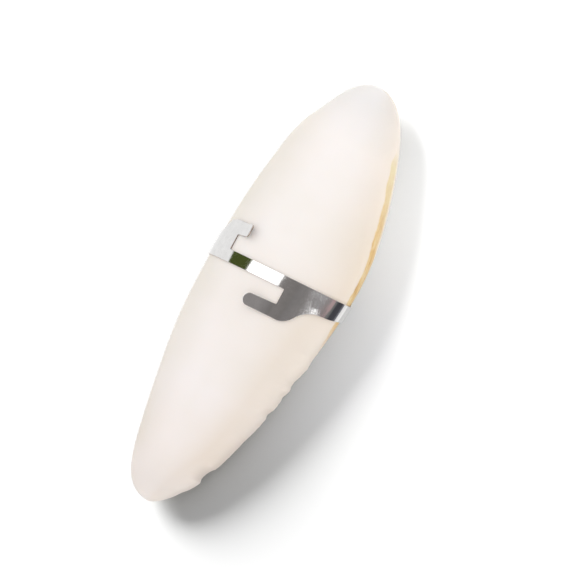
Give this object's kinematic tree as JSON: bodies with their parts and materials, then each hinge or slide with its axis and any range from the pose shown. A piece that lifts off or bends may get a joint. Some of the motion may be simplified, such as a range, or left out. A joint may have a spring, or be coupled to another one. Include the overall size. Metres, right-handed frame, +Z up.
{
  "type": "cuttlebone with cage clip",
  "caption": "Dried cuttlebone with a smooth convex back, held in a bent sheet-metal clip whose hook fingers hang it on cage bars.",
  "frame": {"origin": "centre of the part's footprint, on the surface it lies on", "axes": "+Z up, out of the bone's back; +Y along the bone to its broad end; +X to the side with the horn-coloured rim"},
  "size_m": [0.0442, 0.13, 0.0223],
  "materials": {
    "aragonite": "chalky matte, off-white with a horn-coloured rim",
    "tinned_steel": "bright rolled sheet"
  },
  "bodies": {
    "root": {"cuttlebone": "aragonite", "cage_clip": "tinned_steel"}
  },
  "joints": []
}
